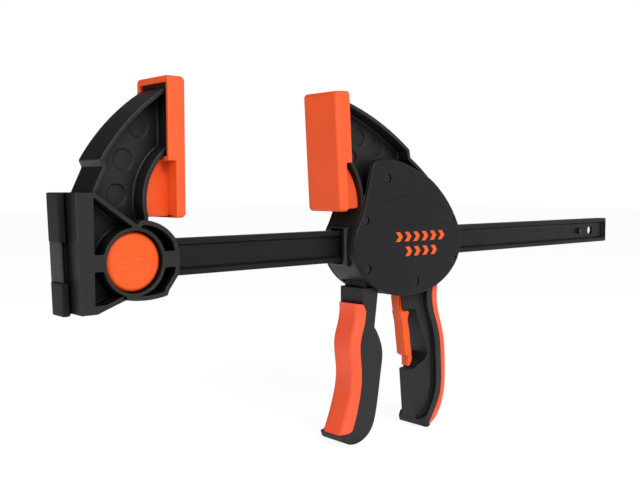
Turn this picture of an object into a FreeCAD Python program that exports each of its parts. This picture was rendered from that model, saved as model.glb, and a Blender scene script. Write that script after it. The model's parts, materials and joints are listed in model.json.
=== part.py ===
"""One-hand trigger bar clamp: one solid or group of solids per sub-part, in millimetres.

The clamp is drawn with the bar's centre line on Z = 0 and the fixed pad's face on X = 0.
+X runs along the bar from the fixed jaw to the moving head, +Z from the bar to the pads,
and Y is across the clamp, with the push button on the -Y side. At export everything is
lowered by PAD_MID_Z, so that the origin is the centre of the fixed pad's clamping face.
"""
import FreeCAD, Part
import math
import os

V = FreeCAD.Vector
ACROSS = V(0, 1, 0)
ALONG = V(1, 0, 0)

# Bar: I-section steel, 7/8 inch high
BAR_HEIGHT = 22.2
BAR_WIDTH = 9.0
BAR_WEB = 3.2
BAR_FLANGE = 3.2
BAR_START = -58.0
BAR_END = 484.0
BAR_END_CHAMFER = 0.8
BAR_END_WALL = 2.0
GROOVE_DRAFT = 1.6
LOCK_HOLE_R = 5.5
TAIL_HOLE_R = 4.0
LOCK_X = -34.5
TAIL_HOLE_X = 460.6
STOP_X = 440.0
STOP_R = 2.6

# Clearances
FIT = 0.02
RUN = 0.05
SLIDE = 0.3

# Pads, shared by both jaws
PAD_LOW = 23.95
PAD_HIGH = 105.7
PAD_MID_Z = (PAD_LOW + PAD_HIGH) / 2
PAD_HALF = 17.7
PAD_WALL = 7.0
PAD_DEPTH = 12.2
PAD_ROUND = 3.0
PAD_RIB_FRONT_HALF = 6.8
PAD_RIB_SPREAD = 0.17
SHOE_HALF = 15.0
SHOE_BACK = 10.2
SHOE_LOW = 59.6
SHOE_HIGH = 101.8
POCKET_FLOOR = 2.6
FIXED_RIB_DEPTH = 30.0
MOVING_RIB_DEPTH = 26.0
MOVING_PAD_X = 122.15
MOVING_PAD_RISE = 0.62
TOE_IN_DEG = 3.43

# Fixed jaw
JAW_HALF = 18.3
JAW_WEB_HALF = 7.0
JAW_WALL = 2.8
RING_R = 19.6
POCKET_BACK_X = -58.9
POCKET_LOW = -22.3
BRIDGE_LOW = -4.2
BRIDGE_HIGH = 5.3
ROUND_RECESS_R = 6.0
ROUND_RECESS_DEPTH = 1.2
RAIL_NECK_HALF = 3.6
RAIL_HEAD_HALF = 5.9
RAIL_NECK = 2.6
RAIL_REACH = 4.0
SLEEVE_HALF = 6.9
SLEEVE_REACH = 5.2
SLEEVE_GAP_LOW = -10.0
SLEEVE_GAP_HIGH = 12.0
BUTTON_BORE_R = 17.5
BUTTON_R = 17.15
BUTTON_FACE_Y = -16.6
BUTTON_THICK = 3.4
BUTTON_ROUND = 2.0
BUTTON_DOME = 0.5
BUTTON_SKIRT = 0.9
BUTTON_SKIRT_WALL = 2.0
BACK_X_AT_BAR = -68.34
BACK_LEAN = -0.0348
RAIL_LOW = -28.4
RAIL_HIGH = 39.0
ARM_HALF = 13.4
ARM_WEB_HALF = 2.8
ARM_WALL = 2.8
POST_R = 2.9
LEG_LOW = 13.1
LEG_HIGH = 16.1
LEG_HALF = 5.0
CARRIER_LOW_Y = 7.6
CARRIER_HIGH_Y = 10.1
CAP_INNER_Y = 16.4
CAP_SCREW_OFFSET = 12.6
PIN_STEM_R = 3.0
FAR = 30.0

# Moving head
COVER_IN = 14.4
COVER_OUT = 17.0
COVER_ROUND = 2.0
HEAD_X = 192.5
HEAD_A = 57.5
HEAD_B = 38.5
HEAD_WALL = 3.0
COVERED_ABOVE_Z = 36.0
TRIGGER_SLOT_X = (149.2, 179.5)
SLOT_TOP_Z = -19.6
PIN_SEAT = 1.4
SCREW_REACH_Y = 9.4
SCREW_HOLE = 5.4
CAVITY_TOP = 33.0
NOSE_BLOCK_X = 148.0
TAIL_BLOCK_X = 236.0
BULKHEAD_X = 197.0
BULKHEAD_THICK = 4.0
GUIDE_HALF_Y = 9.3
FRONT_GUIDE_HALF_Z = 13.8
REAR_GUIDE_HALF_Z = 13.0
FRONT_GUIDE_X = 133.4
REAR_GUIDE_END_X = 247.0
SCREW_PLACES = [(168.0, 47.8), (146.4, 18.1), (148.4, -16.2), (198.4, -28.6), (239.2, 19.3),
                (241.5, -14.5)]
SCREW_HEAD_R = 3.0
SCREW_HEAD_THICK = 1.2
SCREW_SUNK = 0.9
SCREW_R = 1.4
BOSS_R = 3.4

# Trigger, drive, release and brake
TRIGGER_PIVOT = (160.0, 24.0)
TRIGGER_PIN_R = 3.0
TRIGGER_HALF = 12.0
GRIP_ROUND = 5.6
CHEEK_IN = 5.0
CHEEK_OUT = 10.5
PIVOT_BOSS_R = 6.5
RELEASE_BOSS_R = 4.6
DRIVE_X = 166.2
DRIVE_THICK = 3.0
DRIVE_HALF_Y = 11.5
DRIVE_LOW = -16.5
DRIVE_HIGH = 18.0
PLATE_ROUND = 2.0
WASHER_R = 14.1
WASHER_THICK = 1.0
COIL_R = 13.2
COIL_WIRE_R = 0.8
RELEASE_PIVOT = (198.0, -21.0)
RELEASE_PIN_R = 2.0
RELEASE_UPPER_HALF = 3.4
RELEASE_LOWER_HALF = 4.6
RELEASE_TIP_HALF = 3.6
BRAKE_PIVOT = (207.0, 20.0)
BRAKE_THICK = 4.0
BRAKE_TILT_DEG = 1.5
BRAKE_LOW = -32.0
BRAKE_HIGH = 22.0
HANDLE_WEB_FRONT_HALF = 4.6
HANDLE_WEB_FOOT_HALF = 7.0
HANDLE_WEB_REAR_HALF = 9.6
HANDLE_FLANGE_HALF = 13.4
HANDLE_TOE_HALF = 9.8


def box(x0, x1, y0, y1, z0, z1):
    """A box from its lower and upper limits."""
    return Part.makeBox(x1 - x0, y1 - y0, z1 - z0, V(x0, y0, z0))


def rod(x, z, radius, y0, y1):
    """A cylinder whose axis runs across the clamp."""
    return Part.makeCylinder(radius, y1 - y0, V(x, y0, z), ACROSS)


def face_of(runs, y):
    """A face in the plane Y = y. Two points in a run make a line, three an arc, more a smooth curve."""
    edges = []
    for run in runs:
        points = [V(x, y, z) for x, z in run]
        if len(points) == 2:
            edges.append(Part.LineSegment(points[0], points[1]).toShape())
        elif len(points) == 3:
            edges.append(Part.Arc(points[0], points[1], points[2]).toShape())
        else:
            spline = Part.BSplineCurve()
            spline.interpolate(points)
            edges.append(spline.toShape())
    return Part.Face(Part.Wire(edges))


def lines(*corners):
    """Straight runs through corners, without closing."""
    return [[a, b] for a, b in zip(corners, corners[1:])]


def prism(runs, y0, y1):
    """An outline in XZ extruded across the clamp from y0 to y1."""
    return face_of(runs, y0).extrude(V(0, y1 - y0, 0))


def polygon(corners, y0, y1):
    """A straight-sided outline in XZ extruded from y0 to y1."""
    return prism(lines(*corners, corners[0]), y0, y1)


def inset_prism(runs, inset, y0, y1):
    """The same as prism, with the outline moved inwards by inset."""
    return face_of(runs, y0).makeOffset2D(-inset).extrude(V(0, y1 - y0, 0))


def both_sides(make):
    """The union of make(-1) and make(1), for features on both faces of the clamp."""
    return make(-1).fuse(make(1))


def side_prism(runs, inner, outer, side, inset=0.0):
    """A prism from |Y| = inner to |Y| = outer on one side."""
    y0, y1 = sorted((inner * side, outer * side))
    if inset:
        return inset_prism(runs, inset, y0, y1)
    return prism(runs, y0, y1)


def bar_prism(half_y, half_z, x0, x1):
    """A rectangular bar along X, centred on the bar's line."""
    return box(x0, x1, -half_y, half_y, -half_z, half_z)


def round_edges(shape, radius, wanted):
    """Fillets the edges for which wanted(edge) is true."""
    return shape.makeFillet(radius, [edge for edge in shape.Edges if wanted(edge)])


def bevel_edges(shape, size, wanted):
    """Chamfers the edges for which wanted(edge) is true."""
    return shape.makeChamfer(size, [edge for edge in shape.Edges if wanted(edge)])


def edge_on_plane(axis, value, tolerance=0.01):
    """A test for edges that lie wholly in the plane where the coordinate axis equals value."""
    def test(edge):
        limits = edge.BoundBox
        low = getattr(limits, axis + "Min")
        high = getattr(limits, axis + "Max")
        return abs(low - value) < tolerance and abs(high - value) < tolerance
    return test


def edge_runs_along_x(edge):
    limits = edge.BoundBox
    return limits.XLength > 1 and limits.YLength < 0.01 and limits.ZLength < 0.01


def coil(radius, end_radius, wire_r, length, turns, start, direction):
    """A spring from start along direction. Its wire is eight-sided, in short straight lengths."""
    sides = 8
    steps = 16 * turns
    sections = []
    for step in range(steps + 1):
        share = step / steps
        angle = 2 * math.pi * turns * share
        at_radius = radius + (end_radius - radius) * share
        outward = V(math.cos(angle), math.sin(angle), 0)
        sideways = V(-math.sin(angle), math.cos(angle), 0)
        heading = sideways * (2 * math.pi * turns * at_radius) + V(0, 0, length)
        upward = outward.cross(heading).normalize()
        corners = []
        for side in range(sides + 1):
            turn = 2 * math.pi * side / sides
            offset = outward * (wire_r * math.cos(turn)) + upward * (wire_r * math.sin(turn))
            corners.append(outward * at_radius + V(0, 0, length * share) + offset)
        sections.append(Part.makePolygon(corners))
    spring = Part.makeLoft(sections, True, True)
    if spring.Volume < 0:
        spring.reverse()
    turn = FreeCAD.Rotation(V(0, 0, 1), direction)
    return spring.transformed(FreeCAD.Placement(start, turn).toMatrix(), True)


def turned(shape, pivot, degrees):
    """Turned about an axis across the clamp; positive carries what hangs below towards +X."""
    copy = shape.copy()
    copy.rotate(V(pivot[0], 0, pivot[1]), V(0, -1, 0), degrees)
    return copy


# ---------------------------------------------------------------- bar

def bar():
    half_w = BAR_WIDTH / 2
    half_h = BAR_HEIGHT / 2
    c = BAR_END_CHAMFER
    body = polygon(
        [(BAR_START, -half_h), (BAR_END - c, -half_h), (BAR_END, c - half_h),
         (BAR_END, half_h - c), (BAR_END - c, half_h), (BAR_START, half_h)],
        -half_w, half_w)
    root = half_h - BAR_FLANGE - GROOVE_DRAFT
    lip = half_h - BAR_FLANGE
    for side in (-1, 1):
        corners = [(BAR_WEB / 2 * side, -root), (half_w * side, -lip),
                   (half_w * side, lip), (BAR_WEB / 2 * side, root)]
        points = [V(BAR_START, y, z) for y, z in corners + corners[:1]]
        groove = Part.Face(Part.makePolygon(points)).extrude(V(BAR_END - BAR_END_WALL - BAR_START, 0, 0))
        body = body.cut(groove)
    for x, radius in ((LOCK_X, LOCK_HOLE_R), (TAIL_HOLE_X, TAIL_HOLE_R), (STOP_X, STOP_R + FIT)):
        body = body.cut(rod(x, 0, radius, -half_w, half_w))
    return body


def bar_stop_pin():
    """Keeps the head on the bar: its ends fill the grooves, where the head's guides run."""
    half_w = BAR_WIDTH / 2
    return bevel_edges(rod(STOP_X, 0, STOP_R, -half_w, half_w), 0.4, lambda edge: edge.Length > 1.5 * STOP_R
                       and abs(edge.BoundBox.YMax - edge.BoundBox.YMin) < 0.1)


# ---------------------------------------------------------------- pads

def pad_blank(rib_depth):
    """A soft pad with its face on X = 0 and its back towards -X. A pocket holds the arm's shoe."""
    front = box(-PAD_WALL, 0, -PAD_HALF, PAD_HALF, PAD_LOW, PAD_HIGH)
    back = box(-PAD_DEPTH, -PAD_WALL, -PAD_HALF, PAD_HALF, SHOE_LOW - POCKET_FLOOR, PAD_HIGH)
    pocket = box(-PAD_DEPTH, -PAD_WALL, -SHOE_HALF, SHOE_HALF, SHOE_LOW, SHOE_HIGH)
    pad = front.fuse(back).removeSplitter()
    pad = round_edges(pad, PAD_ROUND, lambda edge: edge.BoundBox.XMax > -0.01)
    near = PAD_RIB_FRONT_HALF
    far = near + PAD_RIB_SPREAD * (rib_depth - PAD_WALL)
    low = PAD_LOW + 0.8
    corners = [(-PAD_WALL, -near), (-PAD_WALL, near), (-rib_depth, far), (-rib_depth, -far)]
    foot = Part.makePolygon([V(x, y, low) for x, y in corners + corners[:1]])
    rib = Part.Face(foot).extrude(V(0, 0, SHOE_LOW - low))
    return pad.cut(pocket).fuse(rib).removeSplitter()


def shoe():
    """The plate at the end of an arm, which the pad's pocket slips over."""
    return box(-SHOE_BACK, -PAD_WALL, -SHOE_HALF, SHOE_HALF, SHOE_LOW, SHOE_HIGH)


def to_moving_side(shape):
    """Faces the pad or shoe the other way, tips its top in by the toe-in, and moves it to the head."""
    other = shape.mirror(V(0, 0, 0), ALONG)
    other.rotate(V(0, 0, PAD_LOW), ACROSS, -TOE_IN_DEG)
    other.translate(V(MOVING_PAD_X, 0, MOVING_PAD_RISE))
    return other


# ---------------------------------------------------------------- fixed jaw

def back_x(z):
    """The back plate leans: its outer face is this far along X at height z."""
    return BACK_X_AT_BAR + BACK_LEAN * z


JAW_ARM = (
    [[(-23.1, 25.6), (-21.6, 47.0), (-7.4, 64.25)]]
    + lines((-7.4, 64.25), (-7.4, 101.3))
    + [[(-7.4, 101.3), (-36.8, 78.0), (-52.7, 57.1)]]
    + lines((-52.7, 57.1), (-50.9, 53.2), (-58.8, 36.6), (-34.5, 18.8), (-23.1, 19.2), (-23.1, 25.6))
)


def jaw_bracket_outline():
    """The block round the bar: flat foot, round front about the lock, and a rising rib at the back."""
    foot = (back_x(-27.2), -27.2)
    head = (back_x(RAIL_HIGH), RAIL_HIGH)
    below = lines(foot, (-57.5, -27.2), (-54.0, -25.8), (-40.5, -20.9))
    below += [[(-40.5, -20.9), (-28.0, -22.1), (-14.0, -20.4)]]
    front = lines((-14.0, -20.4), (-12.8, -17.3), (-6.6, -9.0))
    front += [[(-6.6, -9.0), (-5.6, 1.5), (-8.0, 12.0)]]
    above = [[(-8.0, 12.0), (-16.5, 19.8), (-30.0, 23.4)]]
    above += lines((-30.0, 23.4), (-33.0, 21.0), (-58.0, 39.0), head, foot)
    return below + front + above


def jaw_pockets(side):
    """Deep pockets between the ring, the rim, the back plate and the diagonal rib."""
    depth = (JAW_WEB_HALF, JAW_HALF)
    y0, y1 = sorted((depth[0] * side, depth[1] * side))
    pocket = side_prism(jaw_bracket_outline(), depth[0], depth[1], side, JAW_WALL)
    pocket = pocket.common(box(POCKET_BACK_X, 0, y0, y1, POCKET_LOW, RAIL_HIGH))
    pocket = pocket.cut(rod(LOCK_X, 0, RING_R, y0, y1))
    return pocket.cut(box(POCKET_BACK_X, 0, y0, y1, BRIDGE_LOW, BRIDGE_HIGH))


def arm_pockets(outline, side, half, wall, rounds):
    """The hollow side of an I-shaped arm, with shallow round recesses in its web."""
    pocket = side_prism(outline, ARM_WEB_HALF, half, side, wall)
    for x, z in rounds:
        y0, y1 = sorted(((ARM_WEB_HALF - ROUND_RECESS_DEPTH) * side, half * side))
        pocket = pocket.fuse(rod(x, z, ROUND_RECESS_R, y0, y1))
    return pocket


JAW_ROUNDS = [(-33.0, 57.5), (-37.5, 37.5), (-23.0, 76.5)]


def rail_slab(half_y, near, far, low, high):
    """A leaning slab on the back plate, from near to far millimetres behind its outer face."""
    corners = [(back_x(low) - near, low), (back_x(low) - far, low),
               (back_x(high) - far, high), (back_x(high) - near, high)]
    return polygon(corners, -half_y, half_y)


def fixed_jaw_body():
    bracket = prism(jaw_bracket_outline(), -JAW_HALF, JAW_HALF)
    arm = prism(JAW_ARM, -ARM_HALF, ARM_HALF)
    bracket = bracket.cut(both_sides(jaw_pockets))
    arm = arm.cut(both_sides(lambda side: arm_pockets(JAW_ARM, side, ARM_HALF, ARM_WALL, JAW_ROUNDS)))
    rail = rail_slab(RAIL_NECK_HALF, -1, RAIL_NECK, RAIL_LOW, RAIL_HIGH)
    rail = rail.fuse(rail_slab(RAIL_HEAD_HALF, RAIL_NECK - 0.2, RAIL_REACH, RAIL_LOW, RAIL_HIGH))
    body = bracket.fuse([arm, shoe(), rail])
    body = body.cut(rod(LOCK_X, 0, BUTTON_BORE_R, -JAW_HALF, -JAW_WEB_HALF))
    body = body.cut(rod(LOCK_X, 0, BUTTON_BORE_R, JAW_WEB_HALF, JAW_HALF))
    for side in (-1, 1):
        post = rod(LOCK_X + CAP_SCREW_OFFSET * side, 0, POST_R, JAW_WEB_HALF - 1, CAP_INNER_Y)
        hole = rod(LOCK_X + CAP_SCREW_OFFSET * side, 0, SCREW_R + FIT, JAW_WEB_HALF + 1, CAP_INNER_Y)
        body = body.fuse(post).cut(hole)
        slot = box(LOCK_X - LEG_HALF - SLIDE, LOCK_X + LEG_HALF + SLIDE, -JAW_WEB_HALF, JAW_WEB_HALF,
                   LEG_LOW - SLIDE / 2, LEG_HIGH + SLIDE / 2)
        if side < 0:
            slot = slot.mirror(V(0, 0, 0), V(0, 0, 1))
        body = body.cut(slot)
    body = body.cut(bar_prism(BAR_WIDTH / 2 + RUN, BAR_HEIGHT / 2 + RUN, BAR_START, 0))
    return body.cut(rod(LOCK_X, 0, LOCK_HOLE_R, 0, JAW_WEB_HALF)).removeSplitter()


def spreader_rail_pads():
    """Two rubber sleeves on the rail, above and below its bare middle."""
    rail = rail_slab(RAIL_NECK_HALF + FIT, -1, RAIL_NECK, -FAR, 2 * FAR)
    rail = rail.fuse(rail_slab(RAIL_HEAD_HALF + FIT, RAIL_NECK - 0.2, RAIL_REACH, -FAR, 2 * FAR))
    pads = []
    for low, high in ((RAIL_LOW, SLEEVE_GAP_LOW), (SLEEVE_GAP_HIGH, RAIL_HIGH)):
        sleeve = rail_slab(SLEEVE_HALF, 0.9, SLEEVE_REACH, low, high)
        pads.append(sleeve.cut(rail).removeSplitter())
    return pads


def jaw_button():
    """An orange push button. Its two legs pass above and below the bar to the lock's carrier."""
    back = BUTTON_FACE_Y + BUTTON_THICK
    dome_r = (BUTTON_R ** 2 + BUTTON_DOME ** 2) / (2 * BUTTON_DOME)
    dome = Part.makeSphere(dome_r, V(LOCK_X, BUTTON_FACE_Y + dome_r, 0))
    disc = rod(LOCK_X, 0, BUTTON_R, BUTTON_FACE_Y - 1, back).common(dome)
    disc = round_edges(disc, BUTTON_ROUND, lambda edge: edge.BoundBox.YLength < 0.01
                       and edge.BoundBox.YMin < back - 1 and edge.Length > BUTTON_R)
    skirt = rod(LOCK_X, 0, BUTTON_R, back, back + BUTTON_SKIRT)
    skirt = skirt.cut(rod(LOCK_X, 0, BUTTON_R - BUTTON_SKIRT_WALL, back, back + BUTTON_SKIRT))
    button = disc.fuse(skirt)
    for low, high in ((LEG_LOW, LEG_HIGH), (-LEG_HIGH, -LEG_LOW)):
        leg = box(LOCK_X - LEG_HALF, LOCK_X + LEG_HALF, back - 0.5, CARRIER_HIGH_Y, low, high)
        button = button.fuse(leg)
    return button.removeSplitter()


def lock_carrier():
    half_x = LEG_HALF + 2
    half_z = LEG_HIGH - 0.2
    plate = box(LOCK_X - half_x, LOCK_X + half_x, CARRIER_LOW_Y, CARRIER_HIGH_Y, -half_z, half_z)
    for low, high in ((LEG_LOW - RUN, LEG_HIGH + 1), (-LEG_HIGH - 1, -LEG_LOW + RUN)):
        plate = plate.cut(box(LOCK_X - LEG_HALF - RUN, LOCK_X + LEG_HALF + RUN,
                              CARRIER_LOW_Y, CARRIER_HIGH_Y, low, high))
    return plate.cut(rod(LOCK_X, 0, PIN_STEM_R + FIT, CARRIER_LOW_Y, CARRIER_HIGH_Y))


def lock_pin():
    """Stands through the bar's front hole. Pressing the button draws it clear of the bar's web."""
    tip = -BAR_WEB / 2 - 0.1
    pin = rod(LOCK_X, 0, LOCK_HOLE_R - RUN, tip, CARRIER_LOW_Y)
    pin = bevel_edges(pin, 0.5, edge_on_plane("Y", tip))
    return pin.fuse(rod(LOCK_X, 0, PIN_STEM_R, CARRIER_LOW_Y, CARRIER_HIGH_Y)).removeSplitter()


def button_spring():
    """A cone-shaped spring between the carrier and the rear cap."""
    wire_r = 0.45
    start_y = CARRIER_HIGH_Y + wire_r + RUN
    length = CAP_INNER_Y - start_y - wire_r - RUN
    return coil(5.0, 7.6, wire_r, length, 3, V(LOCK_X, start_y, 0), ACROSS)


def jaw_back_cap():
    cap = rod(LOCK_X, 0, BUTTON_BORE_R - RUN, CAP_INNER_Y, JAW_HALF)
    cap = bevel_edges(cap, 0.6, edge_on_plane("Y", JAW_HALF))
    for side in (-1, 1):
        x = LOCK_X + CAP_SCREW_OFFSET * side
        cap = cap.cut(rod(x, 0, SCREW_R + FIT, CAP_INNER_Y, JAW_HALF))
        cap = cap.cut(rod(x, 0, SCREW_HEAD_R + FIT, JAW_HALF - SCREW_HEAD_THICK, JAW_HALF))
    return cap


def recessed_screw(x, z, head_y, tip_y):
    """A pan-head screw lying across the clamp, with a cross recess in its head."""
    side = 1 if head_y > tip_y else -1
    under = head_y - SCREW_HEAD_THICK * side
    head = rod(x, z, SCREW_HEAD_R, *sorted((under, head_y)))
    head = round_edges(head, 0.4, edge_on_plane("Y", head_y))
    shank = rod(x, z, SCREW_R, *sorted((under, tip_y)))
    screw = head.fuse(shank)
    y0, y1 = sorted((head_y - 0.7 * side, head_y))
    for half_x, half_z in ((1.4, 0.3), (0.3, 1.4)):
        screw = screw.cut(box(x - half_x, x + half_x, y0, y1, z - half_z, z + half_z))
    return screw


def jaw_cap_screws():
    places = [LOCK_X - CAP_SCREW_OFFSET, LOCK_X + CAP_SCREW_OFFSET]
    return [recessed_screw(x, 0, JAW_HALF, JAW_WEB_HALF + 2) for x in places]


# ---------------------------------------------------------------- head

def head_ellipse(inset, first_deg, last_deg, steps):
    """Points of the head's round lower outline, moved in by inset, by angle about its centre."""
    points = []
    for step in range(steps + 1):
        angle = math.radians(first_deg + (last_deg - first_deg) * step / steps)
        x = HEAD_X + (HEAD_A - inset) * math.cos(angle)
        z = (HEAD_B - inset) * math.sin(angle)
        points.append((x, z))
    return points


def head_outline(inset, *top):
    """The round lower outline, closed by straight lines through the top corners."""
    round_side = head_ellipse(inset, -202.0, 18.0, 12)
    return [round_side] + lines(round_side[-1], *top, round_side[0])


def cover_outline():
    round_side = head_ellipse(0.0, -202.0, 18.0, 12)
    left = round_side[0]
    right = round_side[-1]
    return [
        round_side,
        [right, (241.0, 22.5), (231.5, 34.0), (214.0, 48.0)],
        [(214.0, 48.0), (196.0, 55.6), (176.0, 61.2), (159.0, 60.6)],
        [(159.0, 60.6), (154.5, 59.2), (152.6, 55.5)],
        [(152.6, 55.5), (149.4, 42.0), (146.2, 30.5), left],
    ]


HEAD_ARM = (
    [[(145.0, 22.0), (141.7, 45.7), (126.9, 64.8)]]
    + lines((126.9, 64.8), (124.7, 101.9))
    + [[(124.7, 101.9), (164.2, 87.2), (194.2, 69.0)]]
    + lines((194.2, 69.0), (195.4, 63.0))
    + [[(195.4, 63.0), (222.0, 42.8), (243.0, 18.0)]]
    + lines((243.0, 18.0), (145.0, 22.0))
)
HEAD_ROUNDS = [(152.0, 77.0), (144.5, 62.0), (170.0, 70.5)]

HANDLE_BACK = [(226.9, -33.0), (226.9, -50.0), (233.2, -70.0), (236.0, -95.0), (234.6, -119.0),
               (229.0, -132.0), (219.2, -140.5)]
HANDLE_PARTING = [(221.2, -33.0), (221.3, -50.0), (228.2, -70.0), (231.0, -95.0), (229.6, -119.0),
                  (224.6, -129.0), (217.2, -139.3)]
HANDLE_INNER = [(215.0, -33.0), (215.3, -50.0), (222.3, -70.0), (225.2, -95.0), (223.8, -118.0),
                (219.2, -126.5)]
HANDLE_FOOT = (lines((217.2, -139.3), (219.2, -140.5), (217.6, -142.0))
               + [[(217.6, -142.0), (211.6, -140.8), (208.6, -135.5)]])


def handle_wedge():
    """Narrow in front and nearly as wide as the flange behind, following the handle's lean."""
    far = HANDLE_WEB_REAR_HALF
    sections = []
    for front, rear, z, near in ((195.0, 214.0, -20.0, HANDLE_WEB_FRONT_HALF),
                                 (202.5, 224.0, -95.0, HANDLE_WEB_FRONT_HALF),
                                 (208.5, 217.0, -150.0, HANDLE_WEB_FOOT_HALF)):
        corners = [(front - 30, near), (front, near), (rear, far), (rear + 40, far)]
        corners += [(x, -y) for x, y in corners[::-1]] + corners[:1]
        sections.append(Part.makePolygon([V(x, y, z) for x, y in corners]))
    return Part.makeLoft(sections, True, True)


def handle_plan():
    """The flange seen from above: full width behind, and narrower at the toe of its foot."""
    near = HANDLE_TOE_HALF
    far = HANDLE_FLANGE_HALF
    corners = [(200, near), (208.0, near), (213.5, far), (250, far)]
    corners += [(x, -y) for x, y in corners[::-1]] + corners[:1]
    return Part.Face(Part.makePolygon([V(x, y, -150) for x, y in corners])).extrude(V(0, 0, 130))


def handle_black():
    """The fixed rear handle: a web with a wide flange behind that curls forward under the foot."""
    web = prism(
        [HANDLE_PARTING]
        + HANDLE_FOOT
        + lines((208.6, -135.5), (205.4, -115.0), (203.1, -99.0), (196.5, -50.5), (195.0, -33.0),
                (221.2, -33.0)),
        -HANDLE_FLANGE_HALF, HANDLE_FLANGE_HALF)
    flange = prism(
        [HANDLE_PARTING]
        + HANDLE_FOOT
        + [[(208.6, -135.5), (215.2, -132.6), (219.2, -126.5)]]
        + [HANDLE_INNER[::-1]]
        + lines((215.0, -33.0), (221.2, -33.0)),
        -HANDLE_FLANGE_HALF, HANDLE_FLANGE_HALF)
    window = polygon(
        [(180.0, -51.0), (208.5, -51.0), (209.0, -54.0), (213.5, -67.5), (218.8, -81.4), (220.4, -86.0),
         (217.8, -91.0), (211.5, -94.8), (208.6, -97.0), (180.0, -98.4)],
        -FAR, FAR)
    lever_slot = box(189.0, 205.0, -RELEASE_UPPER_HALF - SLIDE, RELEASE_UPPER_HALF + SLIDE, -60, -20)
    flange = flange.common(handle_plan())
    return web.common(handle_wedge()).fuse(flange).cut(window), lever_slot


def handle_grip():
    """Soft orange strip on the back of the handle."""
    strip = prism(
        [HANDLE_PARTING]
        + lines((217.2, -139.3), (219.2, -140.5))
        + [HANDLE_BACK[::-1]]
        + lines((226.9, -33.0), (221.2, -33.0)),
        -HANDLE_FLANGE_HALF, HANDLE_FLANGE_HALF)
    shell = prism(cover_outline(), -COVER_OUT, COVER_OUT)
    return strip.cut(shell)


def head_cavity():
    """The hollow behind the covers, which holds the drive in front and the brake behind."""
    inside = prism(head_outline(HEAD_WALL, (228.0, 35.0), (150.0, 35.0)), -COVER_IN, COVER_IN)
    inside = inside.common(box(130, TAIL_BLOCK_X, -20, 20, -60, CAVITY_TOP))
    inside = inside.cut(box(120, NOSE_BLOCK_X, -20, 20, -19.5, 40))
    return inside.cut(box(BULKHEAD_X, BULKHEAD_X + BULKHEAD_THICK, -20, 20, -14.6, 60))


def head_frame():
    shell = prism(cover_outline(), -COVER_IN, COVER_IN)
    arm = prism(HEAD_ARM, -ARM_HALF, ARM_HALF)
    room = both_sides(lambda side: arm_pockets(HEAD_ARM, side, ARM_HALF, ARM_WALL, HEAD_ROUNDS))
    above = box(100, 260, -FAR, FAR, COVERED_ABOVE_Z, 130)
    arm = arm.cut(room.common(above))
    covered = both_sides(lambda side: side_prism(cover_outline(), COVER_IN, FAR, side))
    plate = shell.cut(room.common(above))
    handle, lever_slot = handle_black()
    frame = plate.fuse([arm.cut(covered), to_moving_side(shoe()), handle.cut(covered)])
    frame = frame.cut(head_cavity())
    for x, z in SCREW_PLACES:
        deep = ARM_WEB_HALF - 1 if z > CAVITY_TOP else COVER_IN - 6
        for side in (-1, 1):
            y0, y1 = sorted((deep * side, COVER_IN * side))
            boss = rod(x, z, BOSS_R, y0, y1)
            if z < -20:
                boss = boss.fuse(box(x - BOSS_R, x + BOSS_R, y0, y1, -HEAD_B + 2, z))
            hole_y0, hole_y1 = sorted(((COVER_IN - SCREW_HOLE) * side, COVER_IN * side))
            frame = frame.fuse(boss).cut(rod(x, z, SCREW_R + FIT, hole_y0, hole_y1))
    trigger_slot = box(*TRIGGER_SLOT_X, -TRIGGER_HALF - SLIDE, TRIGGER_HALF + SLIDE, -60, SLOT_TOP_Z)
    frame = frame.cut(trigger_slot).cut(lever_slot)
    frame = frame.cut(bar_prism(GUIDE_HALF_Y, FRONT_GUIDE_HALF_Z, 120, NOSE_BLOCK_X))
    frame = frame.cut(bar_prism(GUIDE_HALF_Y, REAR_GUIDE_HALF_Z, TAIL_BLOCK_X, 260))
    frame = frame.cut(bar_prism(BAR_WIDTH / 2 + 0.4, BAR_HEIGHT / 2 + 0.4, 140, 260))
    return frame.removeSplitter()


def cover(side):
    """One outer cover, with blind seats for the two pivot pins and sunk seats for its screws."""
    plate = side_prism(cover_outline(), COVER_IN, COVER_OUT, side)
    plate = round_edges(plate, COVER_ROUND, edge_on_plane("Y", COVER_OUT * side))
    for x, z in SCREW_PLACES:
        for radius, depth in ((SCREW_R + FIT, 5.0), (SCREW_HEAD_R + FIT, SCREW_SUNK + SCREW_HEAD_THICK)):
            y0, y1 = sorted(((COVER_OUT - depth) * side, COVER_OUT * side))
            plate = plate.cut(rod(x, z, radius, y0, y1))
    for (x, z), radius in ((TRIGGER_PIVOT, TRIGGER_PIN_R), (RELEASE_PIVOT, RELEASE_PIN_R)):
        y0, y1 = sorted((COVER_IN * side, (COVER_IN + PIN_SEAT) * side))
        plate = plate.cut(rod(x, z, radius + FIT, y0, y1))
    return plate


def cover_screws(side):
    head_y = (COVER_OUT - SCREW_SUNK) * side
    return [recessed_screw(x, z, head_y, SCREW_REACH_Y * side) for x, z in SCREW_PLACES]


def pivot_pin(place, radius):
    """A plain steel pin held between the two covers."""
    end = COVER_IN + PIN_SEAT - 2 * RUN
    pin = rod(place[0], place[1], radius, -end, end)
    return bevel_edges(pin, 0.3, lambda edge: abs(edge.BoundBox.YMax - edge.BoundBox.YMin) < 0.1)


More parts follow.
